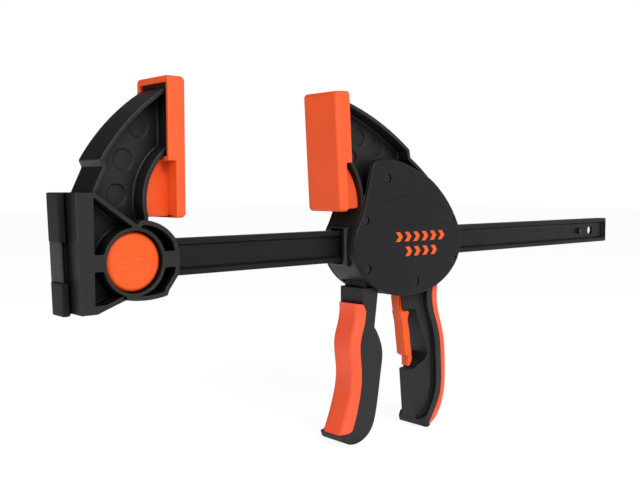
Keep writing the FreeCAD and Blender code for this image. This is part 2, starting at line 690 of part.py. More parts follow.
def bar_guide(x0, x1, half_z):
    """A block round the bar. Its tongues run in the bar's grooves and meet the stop pin."""
    guide = bar_prism(GUIDE_HALF_Y - FIT, half_z - FIT, x0, x1)
    guide = guide.cut(bar_prism(BAR_WIDTH / 2 + RUN, BAR_HEIGHT / 2 + RUN, x0, x1))
    root = BAR_WEB / 2 + 0.15
    tongue_half = BAR_HEIGHT / 2 - BAR_FLANGE - GROOVE_DRAFT - 0.3
    for side in (-1, 1):
        y0, y1 = sorted((root * side, (BAR_WIDTH / 2 + 1) * side))
        guide = guide.fuse(box(x0, x1, y0, y1, -tongue_half, tongue_half))
    return guide.removeSplitter()


def front_bar_guide():
    guide = bar_guide(FRONT_GUIDE_X, NOSE_BLOCK_X, FRONT_GUIDE_HALF_Z)
    guide = round_edges(guide, 2.2, lambda edge: edge.BoundBox.XMax < FRONT_GUIDE_X + 0.01
                        and max(abs(edge.BoundBox.YMin), abs(edge.BoundBox.YMax)) > GUIDE_HALF_Y - 0.1)
    mouth = bar_prism(BAR_WIDTH / 2 + 1.0, BAR_HEIGHT / 2 + 1.0, FRONT_GUIDE_X, FRONT_GUIDE_X + 2.5)
    return guide.cut(mouth)


# ---------------------------------------------------------------- trigger

TRIGGER_TOP = [(148.2, -41.6), (150.3, -44.5), (151.0, -49.0)]
TRIGGER_PARTING = [(151.0, -49.0), (149.8, -56.0), (146.3, -66.5), (147.0, -90.0), (143.9, -113.5),
                   (137.5, -131.0)]
TRIGGER_BACK = [(159.8, -59.0), (165.7, -69.0), (168.0, -78.0), (166.8, -90.0), (161.6, -120.0),
                (156.2, -133.4), (145.0, -140.1), (130.0, -137.4)]


def trigger_lever():
    """Front lever: a grip core below, and two cheeks that straddle the bar up to the pivot."""
    core = prism(
        [TRIGGER_BACK]
        + lines((130.0, -137.4), (128.3, -133.0), (137.5, -131.0))
        + [TRIGGER_PARTING[::-1]]
        + [TRIGGER_TOP[::-1]]
        + lines((148.2, -41.6), (148.2, -30.0), (163.4, -30.0), (163.2, -34.0), (159.8, -59.0)),
        -TRIGGER_HALF, TRIGGER_HALF)
    x, z = TRIGGER_PIVOT
    cheek_face = lines((151.0, -31.0), (152.4, -14.0), (153.9, 4.0), (153.7, z), (166.5, z), (165.0, 4.5),
                       (166.1, 0.0), (164.0, -6.0), (161.4, -11.0), (161.0, -17.5), (162.0, -31.0),
                       (151.0, -31.0))
    neck = box(152.2, 160.8, -CHEEK_OUT, CHEEK_OUT, -31.0, -17.0)
    parts = [core, neck]
    for side in (-1, 1):
        y0, y1 = sorted((CHEEK_IN * side, CHEEK_OUT * side))
        parts.append(prism(cheek_face, y0, y1))
        parts.append(rod(x, z, PIVOT_BOSS_R, y0, y1))
    lever = parts[0].fuse(parts[1:])
    return lever.cut(rod(x, z, TRIGGER_PIN_R + RUN, -20, 20)).removeSplitter()


def trigger_grip():
    """Soft orange grip on the front of the trigger."""
    front = [(144.0, -41.2), (143.0, -54.0), (139.2, -67.0), (140.7, -92.0), (136.8, -112.0),
             (128.3, -133.0)]
    grip = prism(
        [front]
        + lines((128.3, -133.0), (137.5, -131.0))
        + [TRIGGER_PARTING[::-1]]
        + [TRIGGER_TOP[::-1]]
        + lines((148.2, -41.6), (144.0, -41.2)),
        -TRIGGER_HALF, TRIGGER_HALF)
    return round_edges(grip, GRIP_ROUND, lambda edge: edge.BoundBox.XMax < 145.0 and edge.BoundBox.ZLength > 60
                       and edge.BoundBox.YLength < 0.1)


def drive_plates():
    """Two hardened plates round the bar, which the trigger's cheeks push towards +X."""
    plates = []
    for index in range(2):
        x0 = DRIVE_X + index * (DRIVE_THICK + RUN)
        plate = box(x0, x0 + DRIVE_THICK, -DRIVE_HALF_Y, DRIVE_HALF_Y, DRIVE_LOW, DRIVE_HIGH)
        plate = round_edges(plate, PLATE_ROUND, edge_runs_along_x)
        hole = bar_prism(BAR_WIDTH / 2 + 2 * RUN, BAR_HEIGHT / 2 + 2 * RUN, x0, x0 + DRIVE_THICK)
        plates.append(plate.cut(hole))
    return plates


def drive_end_x():
    return DRIVE_X + 2 * DRIVE_THICK + 2 * RUN


def spring_washer():
    """A flat washer that spreads the spring's load on the plates."""
    x0 = drive_end_x()
    disc = Part.makeCylinder(WASHER_R, WASHER_THICK, V(x0, 0, 0), ALONG)
    return disc.cut(bar_prism(BAR_WIDTH / 2 + 4 * RUN, BAR_HEIGHT / 2 + 4 * RUN, x0, x0 + WASHER_THICK))


def drive_spring():
    x0 = drive_end_x() + WASHER_THICK + COIL_WIRE_R + RUN
    length = BULKHEAD_X - COIL_WIRE_R - RUN - x0
    return coil(COIL_R, COIL_R, COIL_WIRE_R, length, 5, V(x0, 0, 0), ALONG)


# ---------------------------------------------------------------- release and brake

def release_lever():
    """Orange finger lever between the trigger and the handle."""
    x, z = RELEASE_PIVOT
    upper = polygon(
        [(193.4, z), (192.0, -35.0), (192.0, -42.0), (194.0, -54.0), (200.4, -54.0), (196.6, -42.0),
         (199.5, -33.4), (203.5, -31.4), (203.5, -29.4), (200.6, -27.6), (x + RELEASE_BOSS_R, z)],
        -RELEASE_UPPER_HALF, RELEASE_UPPER_HALF)
    boss = rod(x, z, RELEASE_BOSS_R, -RELEASE_UPPER_HALF, RELEASE_UPPER_HALF)
    lower = polygon(
        [(194.3, -52.0), (196.6, -60.6), (198.1, -72.0), (199.3, -79.8), (200.0, -85.5), (203.5, -87.4),
         (206.8, -86.4), (207.0, -83.6), (205.8, -79.0), (205.1, -72.0), (203.9, -64.5), (202.4, -58.3),
         (204.2, -53.4), (203.0, -52.0)],
        -RELEASE_LOWER_HALF, RELEASE_LOWER_HALF)
    tip = polygon(
        [(202.0, -84.0), (204.2, -88.0), (204.2, -95.0), (206.2, -94.5), (208.2, -91.4), (208.6, -87.5),
         (206.8, -84.0)],
        -RELEASE_TIP_HALF, RELEASE_TIP_HALF)
    lever = upper.fuse([boss, lower, tip])
    return lever.cut(rod(x, z, RELEASE_PIN_R + RUN, -FAR, FAR)).removeSplitter()


def brake_plate():
    """A plate round the bar that jams by leaning, and frees the bar when the lever squares it up."""
    x0 = BRAKE_PIVOT[0]
    plate = box(x0, x0 + BRAKE_THICK, -DRIVE_HALF_Y, DRIVE_HALF_Y, BRAKE_LOW, BRAKE_HIGH)
    plate = round_edges(plate, PLATE_ROUND, edge_runs_along_x)
    plate = plate.cut(bar_prism(BAR_WIDTH / 2 + 3 * RUN, BAR_HEIGHT / 2 + 4 * RUN, x0, x0 + BRAKE_THICK))
    return turned(plate, BRAKE_PIVOT, -BRAKE_TILT_DEG)


def brake_spring():
    wire_r = 0.5
    radius = 3.3
    z = -15.8
    x0 = BRAKE_PIVOT[0] + BRAKE_THICK + wire_r
    length = TAIL_BLOCK_X - wire_r - RUN - x0
    return coil(radius, radius, wire_r, length, 7, V(x0, 0, z), ALONG)


# ---------------------------------------------------------------- export

def as_list(made):
    return made if isinstance(made, list) else [made]


def build_all():
    jaw = fixed_jaw_body()
    head = head_frame()
    jaw_cutter = prism(JAW_ARM, -ARM_HALF, ARM_HALF).fuse(shoe())
    head_cutter = prism(HEAD_ARM, -ARM_HALF, ARM_HALF).fuse(to_moving_side(shoe()))
    covers = prism(cover_outline(), -COVER_OUT, COVER_OUT)
    return {
        "bar": bar(),
        "bar_stop_pin": bar_stop_pin(),
        "fixed_jaw_body": jaw,
        "fixed_jaw_pad": pad_blank(FIXED_RIB_DEPTH).cut(jaw_cutter),
        "spreader_rail_pads": spreader_rail_pads(),
        "jaw_button": jaw_button(),
        "lock_carrier": lock_carrier(),
        "lock_pin": lock_pin(),
        "button_spring": button_spring(),
        "jaw_back_cap": jaw_back_cap(),
        "jaw_cap_screws": jaw_cap_screws(),
        "head_frame": head,
        "front_cover": cover(-1),
        "rear_cover": cover(1),
        "front_cover_screws": cover_screws(-1),
        "rear_cover_screws": cover_screws(1),
        "front_bar_guide": front_bar_guide(),
        "rear_bar_guide": bar_guide(TAIL_BLOCK_X, REAR_GUIDE_END_X, REAR_GUIDE_HALF_Z),
        "moving_jaw_pad": to_moving_side(pad_blank(MOVING_RIB_DEPTH)).cut(head_cutter).cut(covers),
        "trigger_pivot_pin": pivot_pin(TRIGGER_PIVOT, TRIGGER_PIN_R),
        "release_pivot_pin": pivot_pin(RELEASE_PIVOT, RELEASE_PIN_R),
        "handle_grip": handle_grip(),
        "trigger_lever": trigger_lever(),
        "trigger_grip": trigger_grip(),
        "drive_plates": drive_plates(),
        "spring_washer": spring_washer(),
        "drive_spring": drive_spring(),
        "release_lever": release_lever(),
        "brake_plate": brake_plate(),
        "brake_spring": brake_spring(),
    }


os.makedirs("parts", exist_ok=True)
for node, made in build_all().items():
    solids = [solid for shape in as_list(made) for solid in shape.Solids]
    group = Part.makeCompound(solids) if len(solids) > 1 else solids[0]
    group.translate(V(0, 0, -PAD_MID_Z))
    group.exportStep(f"parts/{node}.step")
    print(node, len(solids), round(sum(solid.Volume for solid in solids) / 1000, 2), group.isValid())
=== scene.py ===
"""One-hand trigger bar clamp: the looks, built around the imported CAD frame."""
import json
import math

import bmesh
import bpy
from mathutils import Matrix, Vector

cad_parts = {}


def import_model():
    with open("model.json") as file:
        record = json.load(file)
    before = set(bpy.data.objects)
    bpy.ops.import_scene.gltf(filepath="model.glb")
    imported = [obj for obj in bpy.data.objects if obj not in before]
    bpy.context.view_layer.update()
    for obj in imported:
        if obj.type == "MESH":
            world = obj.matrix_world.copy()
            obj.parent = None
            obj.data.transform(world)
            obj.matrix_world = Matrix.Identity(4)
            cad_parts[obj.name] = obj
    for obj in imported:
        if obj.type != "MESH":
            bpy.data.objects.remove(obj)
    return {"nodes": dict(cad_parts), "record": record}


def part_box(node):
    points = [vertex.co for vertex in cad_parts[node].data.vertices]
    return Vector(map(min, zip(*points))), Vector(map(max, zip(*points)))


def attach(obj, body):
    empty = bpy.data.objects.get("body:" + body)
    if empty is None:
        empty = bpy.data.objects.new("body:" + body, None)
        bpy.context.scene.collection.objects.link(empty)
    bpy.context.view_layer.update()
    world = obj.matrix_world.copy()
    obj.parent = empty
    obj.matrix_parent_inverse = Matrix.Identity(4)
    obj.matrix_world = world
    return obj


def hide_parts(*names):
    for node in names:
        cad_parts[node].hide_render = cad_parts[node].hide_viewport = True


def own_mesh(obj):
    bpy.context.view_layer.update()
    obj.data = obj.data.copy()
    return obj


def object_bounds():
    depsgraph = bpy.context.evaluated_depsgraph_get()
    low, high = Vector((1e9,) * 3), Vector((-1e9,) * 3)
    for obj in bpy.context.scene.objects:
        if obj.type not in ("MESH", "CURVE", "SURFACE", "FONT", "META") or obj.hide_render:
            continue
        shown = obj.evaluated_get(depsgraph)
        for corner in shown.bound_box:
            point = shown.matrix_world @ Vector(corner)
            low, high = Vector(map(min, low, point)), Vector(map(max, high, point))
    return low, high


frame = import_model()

CAD_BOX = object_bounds()
MM = 0.001
PAD_MID = 64.825 * MM    # from the bar's centre line up to the middle of the pads, where Z is 0
NODES = frame["nodes"]
BODY_OF = {}
for body_name, members in frame["record"]["behaviour"]["bodies"].items():
    for member in members:
        BODY_OF[member] = body_name

# ------------------------------------------------------------------ finishes
# Base colours are linear RGB.
BLACK_NYLON = (0.0060, 0.0060, 0.0064)
BLACK_COVER = (0.0045, 0.0045, 0.0048)
RAIL_RUBBER = (0.0080, 0.0050, 0.0052)
BAR_BLACK = (0.0050, 0.0049, 0.0052)
ORANGE_PAD = (0.73, 0.079, 0.012)
ORANGE_GRIP = (0.76, 0.078, 0.022)
ORANGE_HARD = (0.72, 0.078, 0.005)
SCREW_BLACK = (0.010, 0.010, 0.011)
STEEL = (0.42, 0.41, 0.40)
SPRING_STEEL = (0.30, 0.30, 0.31)

DRIFT_SCALE = 38.0       # noise scales, in repeats per metre
CLOUD_SCALE = 170.0
PATCH_SCALE = 60.0
MOULDED_EDGE = 0.55 * MM
METAL_EDGE = 0.35 * MM
# How far the painted pocket shade looks for nearby walls.
POCKET_SHADE_REACH = 14.0 * MM
MASK_SAMPLES = 6


class Nodes:
    """A short way to build a node tree: each call adds one node and links its inputs."""

    def __init__(self, material):
        material.use_nodes = True
        self.tree = material.node_tree
        self.tree.nodes.clear()

    def add(self, kind, inputs=None, **settings):
        node = self.tree.nodes.new(kind)
        for key, value in settings.items():
            setattr(node, key, value)
        for key, value in (inputs or {}).items():
            if isinstance(value, bpy.types.NodeSocket):
                self.tree.links.new(value, node.inputs[key])
            else:
                node.inputs[key].default_value = value
        return node

    def noise(self, where, scale, detail=4.0, roughness=0.55):
        made = self.add("ShaderNodeTexNoise",
                        {"Vector": where, "Scale": scale, "Detail": detail, "Roughness": roughness})
        return made.outputs["Fac"]

    def spread(self, value, low, high, new_low=0.0, new_high=1.0):
        made = self.add("ShaderNodeMapRange",
                        {"Value": value, "From Min": low, "From Max": high,
                         "To Min": new_low, "To Max": new_high})
        return made.outputs["Result"]

    def mix(self, factor, first, second):
        made = self.add("ShaderNodeMix", data_type="RGBA")
        for socket, value in ((made.inputs[0], factor), (made.inputs[6], first), (made.inputs[7], second)):
            if isinstance(value, bpy.types.NodeSocket):
                self.tree.links.new(value, socket)
            else:
                socket.default_value = value
        return made.outputs[2]

    def maths(self, operation, first, second):
        made = self.add("ShaderNodeMath", {0: first, 1: second}, operation=operation)
        return made.outputs[0]


def shade(colour, factor=1.0):
    return tuple(min(1.0, part * factor) for part in colour[:3]) + (1.0,)


def edge_mask(nodes, radius):
    """1 on outer edges and 0 on flat faces: how far the rounded normal leans from the true one."""
    geometry = nodes.add("ShaderNodeNewGeometry")
    rounded = nodes.add("ShaderNodeBevel", {"Radius": radius}, samples=MASK_SAMPLES)
    dot = nodes.add("ShaderNodeVectorMath",
                    {0: geometry.outputs["Normal"], 1: rounded.outputs["Normal"]},
                    operation="DOT_PRODUCT")
    return nodes.spread(dot.outputs["Value"], 0.995, 0.86)


def pocket_shade_mask(nodes, reach):
    """Painted shade for pockets, from ambient occlusion: 1 in the open and towards 0 far inside a pocket.
    """
    made = nodes.add("ShaderNodeAmbientOcclusion", {"Distance": reach}, samples=MASK_SAMPLES)
    return nodes.spread(made.outputs["AO"], 0.25, 0.85)


def moulded(name, colour, roughness, grain, grain_height, mottle=0.12, worn=1.35, sheen=0.0,
            specular=0.5, pocket_shade_keep=0.5):
    """Moulded plastic or rubber: fine grain, slow colour drift, paler and smoother worn edges.

    Pockets get painted shade, a darker colour and a weaker reflection: the last argument is how much of
    the colour is left at their bottom.
    """
    material = bpy.data.materials.new(name)
    nodes = Nodes(material)
    where = nodes.add("ShaderNodeTexCoord").outputs["Object"]
    slow = nodes.noise(where, DRIFT_SCALE, 3.0)
    cloud = nodes.noise(where, CLOUD_SCALE, 5.0, 0.6)
    fine = nodes.noise(where, grain, 3.0, 0.65)
    tone = nodes.mix(nodes.spread(slow, 0.35, 0.65), shade(colour, 1 - mottle), shade(colour, 1 + mottle))
    tone = nodes.mix(nodes.spread(cloud, 0.55, 0.80, 0.0, 0.35), tone, shade(colour, 1 + 2.5 * mottle))
    edge = edge_mask(nodes, MOULDED_EDGE)
    scuff = nodes.maths("MULTIPLY", edge, nodes.spread(cloud, 0.35, 0.70))
    tone = nodes.mix(scuff, tone, shade(colour, worn))
    # Painted shade: the colour darkens towards the bottom of pockets.
    pocket_unshaded = pocket_shade_mask(nodes, POCKET_SHADE_REACH)
    tone = nodes.mix(pocket_unshaded, shade(colour, pocket_shade_keep), tone)
    rough = nodes.spread(fine, 0.3, 0.7, roughness - 0.05, roughness + 0.06)
    rough = nodes.maths("SUBTRACT", rough, nodes.maths("MULTIPLY", scuff, 0.10))
    height = nodes.maths("ADD", fine, nodes.maths("MULTIPLY", cloud, 0.6))
    bump = nodes.add("ShaderNodeBump", {"Height": height, "Strength": 0.55, "Distance": grain_height})
    # Painted shade on the reflection as well: less specular towards the bottom of pockets.
    shaded_shine = nodes.spread(pocket_unshaded, 0.0, 1.0, specular * pocket_shade_keep * 0.4, specular)
    surface = nodes.add("ShaderNodeBsdfPrincipled",
                        {"Base Color": tone, "Roughness": rough, "Normal": bump.outputs["Normal"],
                         "Sheen Weight": sheen, "Specular IOR Level": shaded_shine})
    nodes.add("ShaderNodeOutputMaterial", {"Surface": surface.outputs[0]})
    return material


def metal(name, colour, roughness, streak, scratch=0.10, metallic=1.0, specular=0.5):
    """Rolled or drawn steel: streaks along one direction, dull patches, bright edges."""
    material = bpy.data.materials.new(name)
    nodes = Nodes(material)
    where = nodes.add("ShaderNodeTexCoord").outputs["Object"]
    along = nodes.add("ShaderNodeMapping", {"Vector": where, "Scale": streak}).outputs[0]
    lines = nodes.noise(along, 1.0, 6.0, 0.7)
    patch = nodes.noise(where, PATCH_SCALE, 4.0)
    tone = nodes.mix(nodes.spread(lines, 0.3, 0.7), shade(colour, 0.8), shade(colour, 1.15))
    tone = nodes.mix(nodes.spread(patch, 0.5, 0.75, 0.0, 0.6), tone, shade(colour, 0.62))
    edge = edge_mask(nodes, METAL_EDGE)
    tone = nodes.mix(nodes.maths("MULTIPLY", edge, 0.6), tone, shade(colour, 1.8))
    rough = nodes.spread(lines, 0.3, 0.7, roughness - scratch, roughness + scratch)
    rough = nodes.maths("ADD", rough, nodes.spread(patch, 0.5, 0.75, 0.0, 0.15))
    bump = nodes.add("ShaderNodeBump", {"Height": lines, "Strength": 0.35, "Distance": 0.00006})
    surface = nodes.add("ShaderNodeBsdfPrincipled",
                        {"Base Color": tone, "Roughness": rough, "Metallic": metallic,
                         "Specular IOR Level": specular, "Normal": bump.outputs["Normal"]})
    nodes.add("ShaderNodeOutputMaterial", {"Surface": surface.outputs[0]})
    return material


FINISH = {
    "black_nylon": moulded("black_nylon_look", BLACK_NYLON, 0.46, 1500.0, 0.00006, worn=2.1,
                           specular=0.35),
    "black_cover": moulded("black_cover_look", BLACK_COVER, 0.50, 1900.0, 0.00005, worn=1.8,
                           specular=0.21),
    "rail_rubber": moulded("rail_rubber_look", RAIL_RUBBER, 0.60, 1300.0, 0.00008, worn=1.4,
                           sheen=0.02, specular=0.2),
    "orange_pad": moulded("orange_pad_look", ORANGE_PAD, 0.50, 900.0, 0.00006, mottle=0.035,
                          worn=1.08, specular=0.36, pocket_shade_keep=0.85),
    "orange_grip": moulded("orange_grip_look", ORANGE_GRIP, 0.56, 1200.0, 0.00010, mottle=0.05,
                           worn=1.10, specular=0.42, pocket_shade_keep=0.85),
    "orange_plastic": moulded("orange_plastic_look", ORANGE_HARD, 0.40, 1700.0, 0.00003, mottle=0.03,
                              worn=1.06, specular=0.34, pocket_shade_keep=0.8),
    "black_screw": metal("black_screw_look", SCREW_BLACK, 0.42, (900.0, 900.0, 900.0), metallic=0.3),
    "bar_steel": metal("bar_steel_look", BAR_BLACK, 0.42, (18.0, 900.0, 900.0), metallic=0.0,
                       specular=0.19),
    "plain_steel": metal("plain_steel_look", STEEL, 0.34, (350.0, 350.0, 60.0)),
    "spring_steel": metal("spring_steel_look", SPRING_STEEL, 0.30, (700.0, 90.0, 90.0)),
}


# ------------------------------------------------------------------- meshes
WELD = 0.002 * MM
SMOOTH_TURN = math.radians(35)
FLAT_TURN = math.radians(0.25)
SHARP_TURN = math.radians(28)
ROUND_STEPS = 3


def link(name, mesh, body, slot):
    """Puts a finished mesh in the scene, riding on a body and wearing one of the finishes."""
    piece = bpy.data.objects.new(name, mesh)
    bpy.context.scene.collection.objects.link(piece)
    mesh.materials.append(FINISH[slot])
    mesh.shade_smooth()
    mesh.set_sharp_from_angle(angle=SMOOTH_TURN)
    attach(piece, body)
    return piece


def link_shape(shape, name, body, slot):
    """The same as link, from a bmesh whose faces may point either way."""
    bmesh.ops.recalc_face_normals(shape, faces=shape.faces)
    mesh = bpy.data.meshes.new(name)
    shape.to_mesh(mesh)
    shape.free()
    return link(name, mesh, body, slot)


def join_rings(shape, rings):
    """Faces between each ring of vertices and the next."""
    for near, far in zip(rings, rings[1:]):
        count = len(near)
        for index in range(count):
            after = (index + 1) % count
            shape.faces.new((near[index], near[after], far[after], far[index]))


def close_ends(shape, rings):
    """A face over the first ring and one over the last."""
    shape.faces.new(rings[0])
    shape.faces.new(rings[-1][::-1])


def even_faces(piece):
    """Keeps wide faces flat in shading beside narrow rounded ones."""
    weighted = piece.modifiers.new("even_faces", "WEIGHTED_NORMAL")
    weighted.keep_sharp = True


def soft_piece(node, name, width_of):
    """A piece that stands for one CAD node: the same faces, with its sharp edges rounded.

    width_of(edge) gives the rounding in millimetres.
    """
    shape = bmesh.new()
    shape.from_mesh(NODES[node].data)
    bmesh.ops.remove_doubles(shape, verts=shape.verts, dist=WELD)
    bmesh.ops.recalc_face_normals(shape, faces=shape.faces)
    bmesh.ops.dissolve_limit(shape, angle_limit=FLAT_TURN, verts=shape.verts, edges=shape.edges)
    widths = {}
    for edge in shape.edges:
        if edge.is_manifold and edge.calc_face_angle(0.0) > SHARP_TURN:
            widths[edge.index] = width_of(edge)
    widest = max(widths.values())
    layer = shape.edges.layers.float.new("bevel_weight_edge")
    shape.edges.ensure_lookup_table()
    for index, width in widths.items():
        shape.edges[index][layer] = width / widest
    mesh = bpy.data.meshes.new(name)
    shape.to_mesh(mesh)
    shape.free()
    slot = NODES[node].data.materials[0].name
    piece = bpy.data.objects.new(name + "_draft", mesh)
    bpy.context.scene.collection.objects.link(piece)
    bevel = piece.modifiers.new("soft_edges", "BEVEL")
    bevel.limit_method = "WEIGHT"
    bevel.offset_type = "OFFSET"
    bevel.width = widest * MM
    bevel.segments = ROUND_STEPS
    bevel.use_clamp_overlap = False
    bevel.miter_outer = "MITER_ARC"
    graph = bpy.context.evaluated_depsgraph_get()
    finished = bpy.data.meshes.new_from_object(piece.evaluated_get(graph))
    finished.materials.clear()
    finished.name = name
    bpy.data.objects.remove(piece)
    shown = link(name, finished, BODY_OF[node], slot)
    even_faces(shown)
    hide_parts(node)
    return shown


# Pocket floors, as distances from the middle plane, and other limits for the rounding, in millimetres.
ARM_FLOOR_HALF = 2.8
BRACKET_FLOOR_HALF = 7.0
SAME_LEVEL = 0.06
HANDLE_ROUND = 0.3
SCREW_SEAT_EDGE = 2.0
HANDLE_TOP_Z = -52.0 * MM - PAD_MID    # in row-frame metres


def plain(width, hollow=None):
    """Rounds outer edges by width, and hollow corners by hollow."""
    hollow = width if hollow is None else hollow
    return lambda edge: width if edge.is_convex else hollow


def with_roots(outer, hollow, roots):
    """Like plain, with its own fillet where a pocket's walls meet its floor.

    roots gives that fillet for each floor's distance from the middle plane.
    """
    def width(edge):
        heights = [abs(vert.co.y) / MM for vert in edge.verts]
        for floor_half, root in roots.items():
            if not edge.is_convex and all(abs(height - floor_half) < SAME_LEVEL for height in heights):
                return root
        return outer if edge.is_convex else hollow
    return width


def frame_edges(edge):
    """The head's frame: wide roots in the arm, and small rounding along the handle."""
    if max(vert.co.z for vert in edge.verts) < HANDLE_TOP_Z:
        return HANDLE_ROUND
    return with_roots(0.6, 0.4, {ARM_FLOOR_HALF: 1.2})(edge)


def cover_edges(edge):
    """Short edges belong to the screw seats, and get less rounding. The outer rim is already round."""
    return 0.18 if edge.calc_length() / MM < SCREW_SEAT_EDGE else 0.35


SOFTENED = {
    "bar": plain(0.6, 1.3),
    "bar_stop_pin": plain(0.2),
    "fixed_jaw_body": with_roots(0.75, 0.5, {BRACKET_FLOOR_HALF: 1.0, ARM_FLOOR_HALF: 1.2}),
    "spreader_rail_pads": plain(0.7),
    "jaw_back_cap": plain(0.3),
    "head_frame": frame_edges,
    "front_cover": cover_edges,
    "rear_cover": cover_edges,
    "front_bar_guide": plain(0.3),
    "rear_bar_guide": plain(0.5),
    "fixed_jaw_pad": plain(0.7, 0.4),
    "moving_jaw_pad": plain(0.7, 0.4),
    "release_lever": plain(0.6, 0.6),
    "trigger_lever": plain(0.6, 0.4),
    "trigger_grip": plain(0.12),
    "handle_grip": plain(1.0),
}
for node, width_of in SOFTENED.items():
    soft_piece(node, node + "_look", width_of)


# ------------------------------------------------------- details of their own
SUNK = 0.3 * MM
RIDGE_PROFILE = [(-1.0, -0.4), (-0.8, 0.45), (-0.35, 0.9), (0.35, 0.9), (0.8, 0.45), (1.0, -0.4)]
RIDGE_WIDTH = 1.5
RIDGE_END = 0.4
# Each row of chevrons: first X, how many, Z above the bar's centre, height and step.
MARK_ROWS = [(176.0, 6, 5.4, 7.0, 9.2), (186.0, 4, -5.4, 7.0, 9.2)]
MARK_HEIGHT = 0.25 * MM
MARK_SLOPE = 0.06 * MM
MARK_LEAN = 0.42
MARK_THICK = 0.46


def face_frame(node, side):
    """The outer Y of a node on one side, in row-frame metres."""
    low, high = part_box(node)
    return low.y if side < 0 else high.y


def raised_prism(name, outline, y, height, slope, side, body, slot):
    """A low raised shape on a face across the clamp: its top is a little smaller than its foot."""
    shape = bmesh.new()
    middle = Vector((sum(x for x, z in outline) / len(outline), sum(z for x, z in outline) / len(outline)))
    rings = []
    for share, out in ((0.0, -SUNK), (0.0, height - slope), (1.0, height)):
        ring = []
        for x, z in outline:
            inward = (middle - Vector((x, z))).normalized() * slope * share
            ring.append(shape.verts.new((inward.x + x, y + side * out, inward.y + z)))
        rings.append(ring)
    join_rings(shape, rings)
    close_ends(shape, rings)
    return link_shape(shape, name, body, slot)


def at_bar(x, z):
    """From millimetres about the bar's centre line to row-frame metres."""
    return (x * MM, z * MM - PAD_MID)


def ridge(name, path, y, side, height, body, slot):
    """A low rounded ridge that follows a path on a face across the clamp."""
    shape = bmesh.new()
    points = [Vector(at_bar(x, z)) for x, z in path]
    last = len(points) - 1
    rows = []
    for index, point in enumerate(points):
        along = (points[min(index + 1, last)] - points[max(index - 1, 0)]).normalized()
        across = Vector((-along.y, along.x))
        taper = RIDGE_END if index in (0, last) else 1.0
        row = []
        for offset, rise in RIDGE_PROFILE:
            at = point + across * (offset * RIDGE_WIDTH * 0.5 * MM * taper)
            row.append(shape.verts.new((at.x, y + side * rise * height * MM * taper, at.y)))
        rows.append(row)
    join_rings(shape, rows)
    close_ends(shape, rows)
    return link_shape(shape, name, body, slot)


def curve_through(first, middle, last, steps=24):
    """Points on the quadratic curve that passes through three points."""
    points = []
    for step in range(steps + 1):
        t = step / steps
        weighted = (((1 - t) * (1 - 2 * t), first), (4 * t * (1 - t), middle), (t * (2 * t - 1), last))
        points.append(tuple(sum(weight * place[axis] for weight, place in weighted) for axis in range(2)))
    return points


def cover_details(side, label):
    """Two faint mould ridges and a plain orange chevron mark on each cover."""
    y = face_frame("front_cover" if side < 0 else "rear_cover", side)
    low_line = curve_through((172.0, 13.2), (206.0, 13.2), (239.0, 12.8))
    high_line = curve_through((158.0, 27.0), (200.0, 35.0), (234.0, 22.5))
    ridge(label + "_line_low", low_line, y, side, 0.50, "head", "black_cover")
    ridge(label + "_line_high", high_line, y, side, 0.45, "head", "black_cover")
    for row, (start, count, z, tall, step) in enumerate(MARK_ROWS):
        lean = tall * MARK_LEAN
        thick = step * MARK_THICK
        for index in range(count):
            x = start + index * step
            outline = [(x, z - tall / 2), (x + thick, z - tall / 2), (x + thick + lean, z),
                       (x + thick, z + tall / 2), (x, z + tall / 2), (x + lean, z)]
            raised_prism(f"{label}_mark_{row}_{index}", [at_bar(*corner) for corner in outline], y,
                         MARK_HEIGHT, MARK_SLOPE, side, "head", "orange_plastic")


cover_details(-1, "front")
cover_details(1, "rear")

# --------------------------------------------------------------- push button
BUTTON_SIDES = 96
BUTTON_RINGS = 40
BUTTON_RIM = 2.4 * MM
BUTTON_DOME = 0.9 * MM
BUTTON_BACK = 3.3 * MM
BUTTON_LIP = 1.6 * MM
BUTTON_HOLLOW = 1.0 * MM
LEGS_FROM = 3.6 * MM
RIB_PLACES = (-7, -6.6, -3, 0, 3, 6.6, 7)
RIB_STEP = 3.6
RIB_SUNK = 0.12 * MM


def button_profile(radius):
    """Distances from the axis and depths behind the face, from the middle out and round the back."""
    profile = []
    for step in range(1, BUTTON_RINGS + 1):
        share = step / BUTTON_RINGS
        out = radius * share
        drop = BUTTON_DOME * share ** 2
        if out > radius - BUTTON_RIM:
            t = (out - (radius - BUTTON_RIM)) / BUTTON_RIM
            drop += BUTTON_RIM * (1 - math.sqrt(max(0.0, 1 - t * t)))
        profile.append((out, drop))
    inner = radius - BUTTON_LIP
    return profile + [(radius, BUTTON_BACK), (inner, BUTTON_BACK), (inner, BUTTON_BACK - BUTTON_HOLLOW)]


def button_look():
    """The push button: a slightly domed cap with a soft rim and three low grip ribs."""
    low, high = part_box("jaw_button")
    centre = (low + high) / 2
    face = low.y
    shape = bmesh.new()
    rows = []
    for out, drop in button_profile((high.x - low.x) / 2):
        row = []
        for index in range(BUTTON_SIDES):
            angle = 2 * math.pi * index / BUTTON_SIDES
            row.append(shape.verts.new((centre.x + out * math.cos(angle), face + drop,
                                        centre.z + out * math.sin(angle))))
        rows.append(row)
    middle = shape.verts.new((centre.x, face, centre.z))
    for index in range(BUTTON_SIDES):
        shape.faces.new((middle, rows[0][index], rows[0][(index + 1) % BUTTON_SIDES]))
    join_rings(shape, rows)
    shape.faces.new(rows[-1])
    cap = link_shape(shape, "jaw_button_cap", "push_button", "orange_plastic")
    for index in (-1, 0, 1):
        ridge(f"jaw_button_rib_{index + 2}",
              [(centre.x / MM + x, (centre.z + PAD_MID) / MM + index * RIB_STEP) for x in RIB_PLACES],
              face + RIB_SUNK, -1, 0.35, "push_button", "orange_plastic")
    return cap


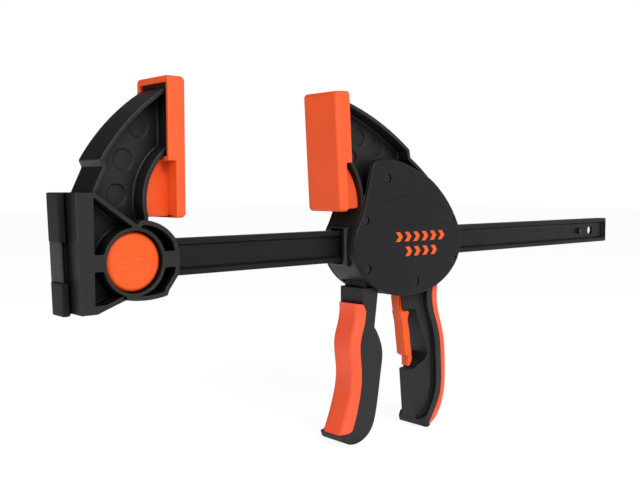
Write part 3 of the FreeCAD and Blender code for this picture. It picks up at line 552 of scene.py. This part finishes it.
def button_legs():
    """The button's two legs, which pass above and below the bar."""
    shape = bmesh.new()
    shape.from_mesh(NODES["jaw_button"].data)
    bmesh.ops.remove_doubles(shape, verts=shape.verts, dist=WELD)
    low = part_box("jaw_button")[0].y
    bmesh.ops.bisect_plane(shape, geom=shape.verts[:] + shape.edges[:] + shape.faces[:],
                           plane_co=(0, low + LEGS_FROM, 0), plane_no=(0, 1, 0), clear_inner=True)
    loose = [vert for vert in shape.verts if not vert.link_faces]
    bmesh.ops.delete(shape, geom=loose, context="VERTS")
    bmesh.ops.holes_fill(shape, edges=[edge for edge in shape.edges if edge.is_boundary])
    return link_shape(shape, "jaw_button_legs", "push_button", "orange_plastic")


for piece in (button_look(), button_legs()):
    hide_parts("jaw_button")

# ------------------------------------------------------------------- springs
WIRE_SIDES = 12
STEPS_PER_TURN = 28


def unit(axis):
    direction = Vector((0, 0, 0))
    direction[axis] = 1.0
    return direction


def spring_look(node, radii, wire, turns, axis):
    """A round-wire spring in its CAD box, wound along an axis.
    """
    low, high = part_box(node)
    middle = (low + high) / 2
    start, end = low[axis] + wire, high[axis] - wire
    first, second = [index for index in range(3) if index != axis]
    steps = STEPS_PER_TURN * turns
    shape = bmesh.new()
    rows = []
    for step in range(steps + 1):
        share = step / steps
        angle = 2 * math.pi * turns * share
        radius = radii[0] + (radii[1] - radii[0]) * share
        outward = unit(first) * math.cos(angle) + unit(second) * math.sin(angle)
        centre = middle.copy()
        centre[axis] = start + (end - start) * share
        centre += outward * radius
        row = []
        for side in range(WIRE_SIDES):
            turn = 2 * math.pi * side / WIRE_SIDES
            around = outward * (wire * math.cos(turn)) + unit(axis) * (wire * math.sin(turn))
            row.append(shape.verts.new(centre + around))
        rows.append(row)
    join_rings(shape, rows)
    close_ends(shape, rows)
    piece = link_shape(shape, node + "_look", BODY_OF[node], "spring_steel")
    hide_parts(node)
    fixed_end = middle.copy()
    fixed_end[axis] = high[axis]
    unit(axis)
    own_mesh(piece)


# Radii at the two ends, wire radius, turns and axis.
spring_look("drive_spring", (13.2 * MM, 13.2 * MM), 0.8 * MM, 5, 0)
spring_look("brake_spring", (3.3 * MM, 3.3 * MM), 0.5 * MM, 7, 0)
spring_look("button_spring", (5.0 * MM, 7.6 * MM), 0.45 * MM, 3, 1)

# The CAD meshes that are kept wear the same finishes.
for shown in NODES.values():
    shown.data.materials[0] = FINISH[shown.data.materials[0].name]

# -------------------------------------------------------------------- stage
FLOOR_GAP = 0.5 * MM
FLOOR_HALF = 6.0
FLOOR_SCALE = 30.0
FLOOR_GLOW = 1.12
FLOOR_GLOW_SHARE = 0.80
BRIGHT_WAY = (0.66, -0.75, 0.05)
WORLD_DARK = 0.04
WORLD_BRIGHT = 0.85
CAMERA_AT = Vector((-0.266754, -0.438712, -0.022808))
CAMERA_YAW = 41.255
CAMERA_PITCH = -3.621
CAMERA_ROLL = 0.094
LENS = 47.54
SENSOR_WIDTH = 36.0


def floor():
    """A pale sheet under the clamp. It is clear when seen from below."""
    mesh = bpy.data.meshes.new("floor")
    z = CAD_BOX[0].z - FLOOR_GAP
    corners = [(x * FLOOR_HALF, y * FLOOR_HALF, z) for x, y in ((-1, -1), (1, -1), (1, 1), (-1, 1))]
    mesh.from_pydata(corners, [], [(0, 1, 2, 3)])
    plane = bpy.data.objects.new("floor", mesh)
    bpy.context.scene.collection.objects.link(plane)
    material = bpy.data.materials.new("floor_look")
    nodes = Nodes(material)
    back = nodes.add("ShaderNodeNewGeometry").outputs["Backfacing"]
    where = nodes.add("ShaderNodeTexCoord").outputs["Object"]
    tone = nodes.mix(nodes.noise(where, FLOOR_SCALE), (0.86, 0.86, 0.86, 1), (0.90, 0.90, 0.90, 1))
    matt = nodes.add("ShaderNodeBsdfDiffuse", {"Color": tone})
    glow = nodes.add("ShaderNodeEmission", {"Color": (1, 1, 1, 1), "Strength": FLOOR_GLOW})
    lit = nodes.add("ShaderNodeMixShader", {0: FLOOR_GLOW_SHARE, 1: matt.outputs[0], 2: glow.outputs[0]})
    clear = nodes.add("ShaderNodeBsdfTransparent")
    both = nodes.add("ShaderNodeMixShader", {0: back, 1: lit.outputs[0], 2: clear.outputs[0]})
    nodes.add("ShaderNodeOutputMaterial", {"Surface": both.outputs[0]})
    mesh.materials.append(material)


def world():
    """White behind the clamp. For light and reflections, bright in front on the right and dark behind."""
    made = bpy.data.worlds.new("studio")
    bpy.context.scene.world = made
    nodes = Nodes(made)
    path = nodes.add("ShaderNodeLightPath")
    where = nodes.add("ShaderNodeTexCoord").outputs["Generated"]
    towards = nodes.add("ShaderNodeVectorMath", {0: where, 1: BRIGHT_WAY},
                        operation="DOT_PRODUCT").outputs["Value"]
    strength = nodes.spread(towards, -0.75, 0.95, WORLD_DARK, WORLD_BRIGHT)
    dim = nodes.add("ShaderNodeBackground", {"Color": (1, 1, 1, 1), "Strength": strength})
    white = nodes.add("ShaderNodeBackground", {"Color": (1, 1, 1, 1), "Strength": 1.0})
    both = nodes.add("ShaderNodeMixShader",
                     {0: path.outputs["Is Camera Ray"], 1: dim.outputs[0], 2: white.outputs[0]})
    nodes.add("ShaderNodeOutputWorld", {"Surface": both.outputs[0]})


def area_light(name, at, towards, size, power):
    data = bpy.data.lights.new(name, "AREA")
    data.shape = "RECTANGLE"
    data.size, data.size_y = size
    data.energy = power
    light = bpy.data.objects.new(name, data)
    light.location = at
    light.rotation_euler = (Vector(towards) - Vector(at)).to_track_quat("-Z", "Y").to_euler()
    bpy.context.scene.collection.objects.link(light)


def camera():
    data = bpy.data.cameras.new("camera")
    data.lens = LENS
    data.sensor_width = SENSOR_WIDTH
    made = bpy.data.objects.new("camera", data)
    yaw, pitch = math.radians(CAMERA_YAW), math.radians(CAMERA_PITCH)
    forward = Vector((math.sin(yaw) * math.cos(pitch), math.cos(yaw) * math.cos(pitch), math.sin(pitch)))
    made.rotation_mode = "QUATERNION"
    made.rotation_quaternion = (Matrix.Rotation(math.radians(CAMERA_ROLL), 4, forward).to_quaternion()
                                @ forward.to_track_quat("-Z", "Y"))
    made.location = CAMERA_AT
    bpy.context.scene.collection.objects.link(made)
    bpy.context.scene.camera = made


floor()
world()
area_light("key", (-0.15, -1.15, 0.80), (0.02, 0, -0.04), (0.7, 0.6), 13.0)
area_light("left", (-1.1, -0.55, 0.30), (0.0, 0, -0.06), (0.6, 0.9), 8.0)
camera()
bpy.context.scene.view_settings.view_transform = "Standard"
